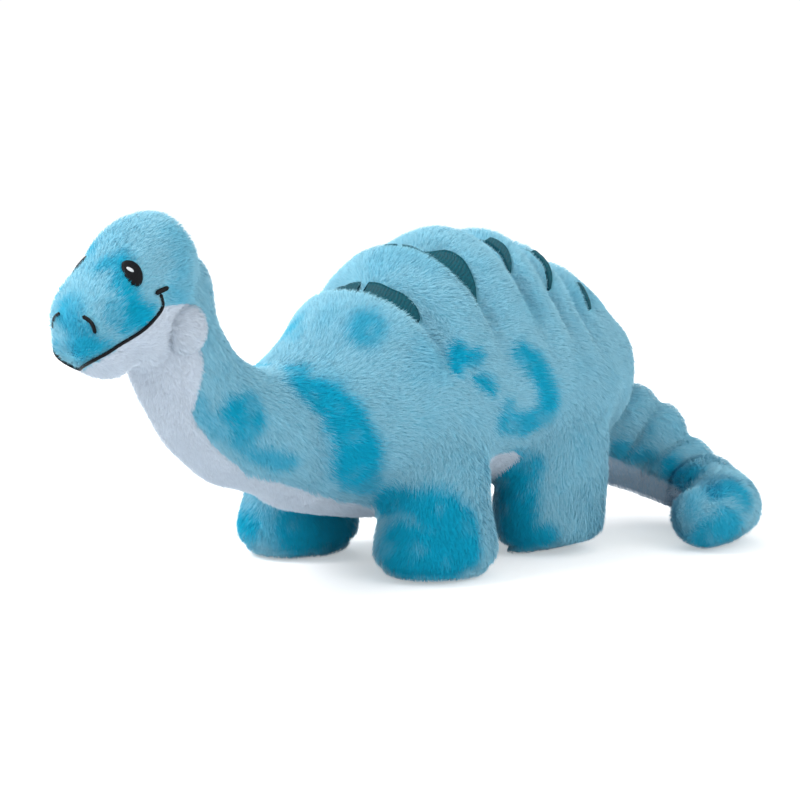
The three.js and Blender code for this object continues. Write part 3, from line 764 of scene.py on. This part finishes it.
def cover(k, body):
    """The backing of one body, cut from the skin."""
    used, index = np.unique(quads[face_code == k], return_inverse=True)
    o = mesh_object(body + "_cover", points[used], index.reshape(-1, 4).tolist())
    tone_attribute(o.data, np.stack([deep[used], np.full(len(used), 0.2), pale[used], pale[used]], 1))
    o.data.materials.append(BACKING)
    attach(o, body)
    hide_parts(*REPLACED[body])


for k, body in enumerate(BODY_NAMES):
    cover(k, body)
bpy.data.objects.remove(skin)
SKIN_TREE = BVHTree.FromPolygons(points.tolist(), quads.tolist())


# Embroidery
def smooth_line(line, count):
    return eased(np.asarray(line, float), np.linspace(0, 1, count))


def stitched(o, along, material):
    """Finish a satin-stitched piece of the head, with its run across the threads."""
    layer = o.data.attributes.new("Along", "FLOAT", "POINT")
    layer.data.foreach_set("value", np.asarray(along, np.float32))
    o.data.materials.append(material)
    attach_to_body(o, "head")
    return o


def thread_line(name, hits, width, rise, sink):
    """A satin-stitched line over surface points: a low rounded ribbon with closed ends."""
    p = np.array([h[0] for h in hits])
    n = np.array([h[1] for h in hits])
    for _ in range(2):
        n[1:-1] = unit(n[:-2] + 2 * n[1:-1] + n[2:])
    side = unit(np.cross(unit(np.gradient(p, axis=0)), n))
    along = np.concatenate([[0], np.cumsum(np.linalg.norm(np.diff(p, axis=0), axis=1))])
    taper = np.sqrt(np.clip(np.minimum(along, along[-1] - along) / (width * 0.4), 0.05, 1))[:, None, None]
    angles = 2 * np.pi * np.arange(12) / 12
    height = np.where(np.sin(angles) > 0, rise, THREAD_ROOT)
    rings = (p + n * sink)[:, None] + side[:, None] * (np.cos(angles) * width / 2)[None, :, None] * taper
    rings = rings + n[:, None] * (np.sin(angles) * height)[None, :, None] * taper
    o = mesh_object(name, *closed(rings, [rings[0].mean(0), rings[-1].mean(0)]))
    return stitched(o, np.concatenate([np.repeat(along, 12), [0, along[-1]]]), BLACK_THREAD)


def dome(name, spec, side, rise, sink, material, over):
    """A padded satin-stitch oval on the side of the head."""
    lean = math.radians(spec["lean"])
    rings, along = [], []
    shares = [1.0, 1.0, 0.985, 0.94, 0.86, 0.74, 0.58, 0.4, 0.2]
    lifts = [sink, 0.0] + [rise * math.sqrt(1 - s * s) for s in shares[2:]]
    for share, lift in zip(shares, lifts):
        ring = []
        for a in np.linspace(0, 2 * np.pi, 48, endpoint=False):
            u, w = math.cos(a) * spec["radii"][0] * share, math.sin(a) * spec["radii"][1] * share
            y = spec["at"][0] + u * math.cos(lean) + w * math.sin(lean)
            z = spec["at"][1] - u * math.sin(lean) + w * math.cos(lean)
            hit, normal = from_side(y, z, side)
            ring.append(hit + normal * (lift + over))
            along.append(w + 0.35 * u)
        rings.append(ring)
    rings = np.array(rings)
    o = mesh_object(name, *closed(rings, [rings[0].mean(0), rings[-1].mean(0)]))
    return stitched(o, along + [0, 0], material)


def mouth_path():
    """Places and normals of the mouth, from its left corner round the snout to the right one."""
    left = [from_side(y, z) for y, z in smooth_line(MOUTH_LINE[:5], 34)]
    front = []
    for turn in np.linspace(ACROSS, -ACROSS, 45)[1:-1]:
        a, dip = math.radians(turn), math.radians(float(mouth_dip(turn)))
        out = np.array([math.sin(a) * math.cos(dip), -math.cos(a) * math.cos(dip), -math.sin(dip)])
        front.append(cast(SNOUT + out * 60, -out))
    return left + front + [(h * (-1, 1, 1), n * (-1, 1, 1)) for h, n in left[::-1]]


mouth_hits = mouth_path()
mouth = thread_line("mouth_stitch", mouth_hits, 1.5, 0.6, -0.9)
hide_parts("mouth")

SIDES = ((1, "left"), (-1, "right"))
face_lines = [[h for h, _ in mouth_hits]]
for side, tag in SIDES:
    eye = dome("eye_stitch_" + tag, EYE, side, 0.9, -1.6, BLACK_THREAD, over=-0.6)
    glint = dome("glint_stitch_" + tag, GLINT, side, 0.3, -0.6, WHITE_THREAD, over=0.22)
    corner_hits = [from_side(y, z, side) for y, z in smooth_line(CORNER, 12)]
    corner = thread_line("mouth_corner_stitch_" + tag, corner_hits, 2.1, 0.6, -0.7)
    nostril_hits = [cast((side * x, -260, z), (0, 1, 0)) for x, z in smooth_line(NOSTRIL, 16)]
    nostril = thread_line("nostril_stitch_" + tag, nostril_hits, 1.7, 0.45, -0.7)
    for piece, node in ((eye, "eye"), (glint, "glint"), (corner, "mouth_corner"), (nostril, "nostril")):
        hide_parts(f"{node}_{tag}")
    face_lines += [[h for h, _ in hits] for hits in (corner_hits, nostril_hits)]


# Stripes in the grooves
def torso_point(y, angle, grow):
    """Places over the torso at each y and angle from the crest, moved out by grow."""
    shape = np.broadcast(y, angle).shape
    y, angle = (a.ravel() for a in np.broadcast_arrays(y, angle))
    table = np.linspace(0, 1, 400)
    t = np.interp(y, eased(TORSO["stations"], table)[:, 1], table)
    at, _, side, over = sections(TORSO, t)
    move = grow - groove_depth(y, angle)
    lift = np.cos(angle) * (np.where(np.cos(angle) > 0, at[:, 4], at[:, 5]) + move)
    wide = np.sin(angle) * (at[:, 3] + move)
    p = at[:, :3] + side * wide[:, None] + over * lift[:, None]
    p[:, 1] += fan(y, angle)
    return p.reshape(*shape, 3)


def stripe_patch(name, groove, table, side):
    """A woven patch over the skin behind a groove, and where it covers and borders the skin."""
    angle, behind, half = eased(table, np.linspace(0, 1, 44)).T[:, :, None]
    v = np.linspace(-1, 1, 13)[None]
    y = groove + behind + v * half
    down = np.radians(angle * side)
    outer, inner = torso_point(y, down, 9.0), torso_point(y, down, -14.0)
    out = unit(outer - inner)
    feet = np.empty(y.shape + (3,))
    for place in np.ndindex(y.shape):
        hit = SKIN_TREE.ray_cast(Vector(outer[place]), Vector(-out[place]))[0]
        feet[place] = hit if hit is not None else inner[place]
    feet[1:-1] = (feet[:-2] + 2 * feet[1:-1] + feet[2:]) / 4
    crown = 0.7 * (1 - v ** 2) * np.minimum(1, half / 3)
    rise = (0.4 + 1.8 * smooth(0.25, 0.5, half) + crown)[..., None]
    rings = np.concatenate([feet + out * rise, (feet - out * 0.6)[:, ::-1]], axis=1)
    places, faces = closed(rings, [rings[0].mean(0), rings[-1].mean(0)])
    if side < 0:
        faces = [face[::-1] for face in faces]
    o = mesh_object(name + "_patch", places, faces)
    o.data.materials.append(WEAVE)
    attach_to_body(o, "torso")
    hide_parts(name)
    shown = feet[half[:, 0] > 0.38]
    return shown[:, 2:].reshape(-1, 3), shown[:, 0]


patches = [stripe_patch(f"stripe_{i + 1}_{tag}", groove, table, side)
           for i, (groove, table) in enumerate(zip(GROOVES, STRIPES)) for side, tag in SIDES]
ROOT_TREE, FRONT_TREE = (tree_of(np.concatenate(places)) for places in zip(*patches))


# Pile
rng = np.random.default_rng(20)


def scatter(p, faces, density):
    """Roots spread over quads: their faces, and the weights of the faces' corners."""
    a, b, c, d = (p[faces[:, k]] for k in range(4))
    halves = [np.linalg.norm(np.cross(q - a, r - a), axis=1) for q, r in ((b, c), (c, d))]
    expected = sum(halves) / 2 * density
    per_face = np.floor(expected + rng.random(len(faces))).astype(int)
    face = np.repeat(np.arange(len(faces)), per_face)
    s, t = rng.random(len(face)), rng.random(len(face))
    return face, np.stack([(1 - s) * (1 - t), s * (1 - t), s * t, (1 - s) * t], 1)


def roots_of(k):
    """Where the blades of one body start: place, normal, run, if they are pale, and how loose."""
    faces = quads[face_code == k]
    most = max(DENSITY, PALE_DENSITY)
    face, weights = scatter(points, faces, most * (1))
    p, n, along, of_kind = (
        (values[faces[face]] * weights[..., None]).sum(1) for values in (points, normals, run, kind))
    # A crisp border: each blade is pale or blue
    is_pale = pale_share(p, of_kind) > 0.5
    tail_end = 0.4 * smooth(0.4, 0.8, of_kind[:, 1]) * smooth(25, 45, p[:, 0])
    loose = np.maximum(smooth(0.3, 0.8, of_kind[:, 2]), tail_end)
    keep = rng.random(len(p)) < np.where(is_pale, PALE_DENSITY, DENSITY) / most
    # Under the feet the pile is worn short and mostly hidden
    keep &= ~((unit(n)[:, 2] < -0.8) & (p[:, 2] < 3) & (rng.random(len(p)) < 0.7))
    return [a[keep] for a in (p, unit(n), unit(along), is_pale, loose)]


def nap(p, n, along, loose):
    """Which way the pile lies: from the head to the tail and down, with swirls, wild where it is loose."""
    flow = along + np.array([0, 0, -0.45])
    flow = unit(flow - (flow * n).sum(1, keepdims=True) * n)
    angle = 0.55 * noise(p, 19, 41) + 0.3 * noise(p, 6, 42)
    angle += (0.16 + 0.4 * loose) * rng.standard_normal(len(p)) + loose * (1.5 + 1.8 * noise(p, 9, 45))
    return unit(flow * np.cos(angle)[:, None] + np.cross(n, flow) * np.sin(angle)[:, None])


def blades(name, body, p, n, flow, length, lift, width, tone, slots):
    """A mesh of pile: each blade is two faces from a broad root to a fine tip."""
    count = len(p)
    order = np.lexsort((p[:, 1],))
    rows = int(math.ceil(math.sqrt(count)))
    order = np.concatenate([part[np.lexsort((p[part, 2],))] for part in np.array_split(order, rows)])
    p, n, flow, length, lift, width, tone, slots = (
        a[order] for a in (p, n, flow, length, lift, width, tone, slots))
    rise = (length * np.sin(lift))[:, None]
    reach = (length * np.cos(lift))[:, None]
    roll = rng.uniform(-0.95, 0.95, count)[:, None]
    side = unit(np.cross(flow, n) * np.cos(roll) + n * np.sin(roll)) * width[:, None] / 2
    root = p - n * 0.5
    middle = p + n * rise * 0.66 + flow * reach * 0.4
    tip = p + n * rise + flow * reach
    v = np.stack([root - side, root + side, middle + side * 0.85, middle - side * 0.85, tip], 1)
    v[..., 2] = np.maximum(v[..., 2], 0.25)
    mesh = bpy.data.meshes.new(name)
    mesh.vertices.add(count * 5)
    mesh.loops.add(count * 7)
    mesh.polygons.add(count * 2)
    mesh.vertices.foreach_set("co", ((v.reshape(-1, 3) + SHIFT) / 1000).astype(np.float32).ravel())
    blade = np.arange(count, dtype=np.int32)[:, None]
    loops = blade * 5 + np.array([0, 1, 2, 3, 3, 2, 4], np.int32)
    mesh.loops.foreach_set("vertex_index", loops.ravel())
    mesh.polygons.foreach_set("loop_start", (blade * 7 + np.array([0, 4], np.int32)).ravel())
    mesh.polygons.foreach_set("material_index", np.repeat(slots, 2).astype(np.int32))
    uv = mesh.uv_layers.new(name="OFBake")
    cell = np.stack([blade[:, 0] % rows, blade[:, 0] // rows], 1)[:, None]
    in_cell = np.array([[0.2, 0.1], [0.8, 0.1], [0.8, 0.5], [0.2, 0.5], [0.2, 0.5], [0.8, 0.5], [0.5, 0.9]])
    uv.data.foreach_set("uv", ((cell + in_cell) / rows).astype(np.float32).ravel())
    mesh.update(calc_edges=True)
    mesh.shade_smooth()
    values = np.ones((count, 5, 4), np.float32)
    values[..., 0] = tone[:, 0:1]
    values[..., 1] = np.array([0.0, 0.0, 0.6, 0.6, 1.0]) * tone[:, 2:3]
    values[..., 2] = tone[:, 1:2]
    tone_attribute(mesh, values)
    # Light falls on a blade nearly as on the skin under it
    shade = unit(0.9 * n + 0.2 * unit(np.cross(side, middle - root)))
    mesh.normals_split_custom_set_from_vertices(np.repeat(shade, 5, axis=0).tolist())
    o = bpy.data.objects.new(name, mesh)
    bpy.context.collection.objects.link(o)
    mesh.materials.append(BLUE_FUR)
    mesh.materials.append(PALE_FUR)
    attach(o, body)


EYE_CENTRES = [from_side(*EYE["at"], side)[0] for side, _ in SIDES]
BROW_HIGHLIGHT_LINE = [from_side(y, z)[0] for y, z in BROW_HIGHLIGHT]


def face_trim(p):
    """How short the pile is cut round the eyes, the mouth, the nostrils and the cheeks."""
    trimmed = np.ones(len(p))
    for line in face_lines:
        trimmed = np.minimum(trimmed, 0.35 + 0.65 * smooth(1.2, 4.5, to_line(p, line)))
    for centre in EYE_CENTRES:
        off = np.linalg.norm((p - centre) * (0.6, 1.25, 0.85), axis=1)
        trimmed = np.minimum(trimmed, 0.42 + 0.58 * smooth(3.8, 7, off))
    off = np.linalg.norm(mirrored_gap(p, CHEEK[0]) / CHEEK[1], axis=1)
    return trimmed * (0.5 + 0.5 * smooth(0.7, 0.95, off))


def coat(k, body):
    """The pile of one body, and how many blades it has."""
    p, n, along, is_pale, loose = roots_of(k)
    length = np.where(is_pale, PALE_LENGTH, LENGTH) * (1 + 0.16 * rng.standard_normal(len(p)).clip(-2, 2))
    length *= 1 + 0.12 * noise(p, 15, 43)
    lift = np.where(is_pale, PALE_LIFT, LIFT) + 0.08 * rng.standard_normal(len(p))
    lift = (lift + 0.07 * noise(p, 5, 44) + 0.12 * loose).clip(0.25, 1.15)
    # The feet are rubbed short towards the floor
    length *= 0.5 + 0.5 * smooth(1.5, 12, p[:, 2])
    if body == "torso":
        # None under the stripes, and shorter ahead of them
        on_back = np.flatnonzero((p[:, 2] > 90) & (p[:, 1] > -50))
        ahead = np.array([FRONT_TREE.find(q)[2] for q in p[on_back]])
        length[on_back] *= 0.55 + 0.45 * smooth(1.0, 5.0, ahead)
        grown = np.ones(len(p), bool)
        grown[on_back] = [ROOT_TREE.find(q)[2] >= 0.85 for q in p[on_back]]
        p, n, along, is_pale, loose, length, lift = (
            a[grown] for a in (p, n, along, is_pale, loose, length, lift))
    if body == "head":
        length *= np.where(is_pale, 1.0, 0.92) * face_trim(p)
    flow = nap(p, n, along, loose)
    # Blades gather in small locks
    seeds = rng.choice(len(p), max(len(p) // 9, 1), replace=False)
    lock_tree = tree_of(p[seeds])
    lock = seeds[np.array([lock_tree.find(q)[1] for q in p])]
    flow = unit(flow + (p[lock] - p) * 0.09 / np.maximum(length, 1)[:, None])
    flow = unit(0.85 * flow + 0.15 * flow[lock])
    flow = unit(flow - (flow * n).sum(1, keepdims=True) * n)
    dye = deep_share(p + rng.normal(0, 0.9, p.shape))
    chance = 0.55 * rng.random(len(p)) + 0.45 * rng.random(len(p))[lock]
    frost_and_brow_highlight = np.ones(len(p))
    # Over the brow the tips are painted lighter still: a painted highlight
    if body == "head":
        frost_and_brow_highlight += 2.6 * smooth(1.7, 0.6, to_line(p, BROW_HIGHLIGHT_LINE))
    # The pale pile under the tail carries 0.7 in the dye channel: a painted bluish shade
    tone = np.stack([np.where(is_pale, 0.7 if body == "tail" else 0.0, dye), chance, frost_and_brow_highlight], 1)
    width = rng.uniform(*BLADE_WIDTH, len(p)) * np.where(is_pale, 0.9, 1.0) * 1
    parts = max(1, int(math.ceil(len(p) / MOST_BLADES)))
    share = np.searchsorted(np.quantile(p[:, 1], np.linspace(0, 1, parts + 1)[1:-1]), p[:, 1])
    for part in range(parts):
        m = share == part
        tag = f"_{part + 1}" if parts > 1 else ""
        blades(f"{body}_pile{tag}", body, *(a[m] for a in (p, n, flow, length, lift, width, tone, is_pale)))
    return len(p)


strands = sum(coat(k, body) for k, body in enumerate(BODY_NAMES))


def cheek(side, tag):
    """A fluffy pale tuft: a stuffed core and its pile."""
    centre, radii = np.array(CHEEK[0]) * (side, 1, 1), np.array(CHEEK[1])
    polar = np.linspace(0.12, math.pi - 0.12, 20)[:, None]
    turn = np.linspace(0, 2 * math.pi, 32, endpoint=False)[None]
    level, height = np.sin(polar), np.cos(polar) + 0 * turn
    ball = np.stack([level * np.cos(turn), level * np.sin(turn), height], -1)
    pole = np.array([0, 0, radii[2] - CORE_DEPTH])
    v, f = closed(centre + ball * (radii - CORE_DEPTH), [centre + pole, centre - pole])
    o = mesh_object(f"cheek_{tag}_core", v, [face[::-1] for face in f])
    tone_attribute(o.data, np.tile([0, 0.2, 1, 1], (len(v), 1)))
    o.data.materials.append(BACKING)
    attach(o, "head")
    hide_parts(f"cheek_{tag}")
    d = unit(rng.standard_normal((4800, 3)))
    d = d[d[:, 0] * side > -0.35]
    p = centre + d * (radii - CORE_DEPTH - 0.4)
    n = unit(d / radii)
    flow = unit(np.cross(n, rng.standard_normal(p.shape))) * 0.35 + np.array([0.25 * side, 0.75, -0.6])
    flow = unit(flow - (flow * n).sum(1, keepdims=True) * n)
    size = len(p)
    length, lift = rng.uniform(2.4, 3.6, size), rng.uniform(0.4, 0.85, size)
    width = rng.uniform(0.18, 0.3, size)
    tone = np.stack([np.zeros(size), rng.random(size), np.ones(size)], 1)
    blades(f"cheek_{tag}_pile", "head", p, n, flow, length, lift, width, tone, np.ones(size, int))


for side, tag in SIDES:
    cheek(side, tag)


# Floor, light and camera, in metres
AIM = Vector((-0.01727, 0.0128, 0.0707))
AZ, EL = math.radians(43.5), math.radians(8.0)
TOWARD = Vector((math.sin(AZ) * math.cos(EL), -math.cos(AZ) * math.cos(EL), math.sin(EL)))
RIGHT, FRONT = Vector((math.cos(AZ), math.sin(AZ), 0)), Vector((math.sin(AZ), -math.cos(AZ), 0))


def in_scene(name, data, place, towards):
    """An object for data at place, looking along towards."""
    o = bpy.data.objects.new(name, data)
    bpy.context.collection.objects.link(o)
    o.location = place
    o.rotation_euler = towards.to_track_quat("-Z", "Y").to_euler()
    return o


camera = in_scene("camera", bpy.data.cameras.new("camera"), AIM + TOWARD * 1.5, -TOWARD)
camera.data.lens, camera.data.sensor_width = 152.6, 36.0
camera.data.clip_start, camera.data.clip_end = 0.05, 50
bpy.context.scene.camera = camera


def studio_floor():
    """A pale floor that stays white to the camera and keeps the toy's shadow."""
    bpy.ops.mesh.primitive_plane_add(size=12, location=(0, 0, 0))
    floor = bpy.context.object
    floor.name = "floor"
    n = new_material("studio floor")
    by_camera = n.add("LightPath").outputs["Is Camera Ray"]
    bounce = n.mix(by_camera, (0.78, 0.82, 0.85, 1), (0.85, 0.82, 0.81, 1))
    diffuse = n.add("BsdfDiffuse", {"Color": bounce})
    glow = n.add("Emission", {"Color": (0.92, 0.98, 1.0, 1), "Strength": n.math("MULTIPLY", n.seen(), 0.42)})
    floor.data.materials.append(n.show(n.add("AddShader", {0: diffuse.outputs[0], 1: glow.outputs[0]})))


def studio_world(level, shown):
    """White light from all sides, and a backdrop that looks a share brighter than it shines."""
    n = Nodes(bpy.data.worlds.new("studio"), "OutputWorld")
    strength = n.math("MULTIPLY_ADD", n.seen(), shown, level)
    bpy.context.scene.world = n.show(n.add("Background", {"Color": (1, 1, 1, 1), "Strength": strength}))


def lamp(name, place, size, power):
    light = bpy.data.lights.new(name, "AREA")
    light.shape, light.size, light.energy = "DISK", size, power
    in_scene(name, light, AIM + place, -place)


studio_floor()
studio_world(level=0.76, shown=0.28)
lamp("key", -RIGHT * 0.9 + FRONT * 0.15 + Vector((0, 0, 1.05)), 0.9, 17.5)
lamp("fill", RIGHT * 0.9 + FRONT * 0.9 + Vector((0, 0, 0.6)), 1.2, 6.5)
lamp("back", -FRONT * 1.1 + Vector((0, 0, 0.9)), 0.8, 4.2)
bpy.context.scene.view_settings.view_transform = "Standard"

print("BLADES", strands)
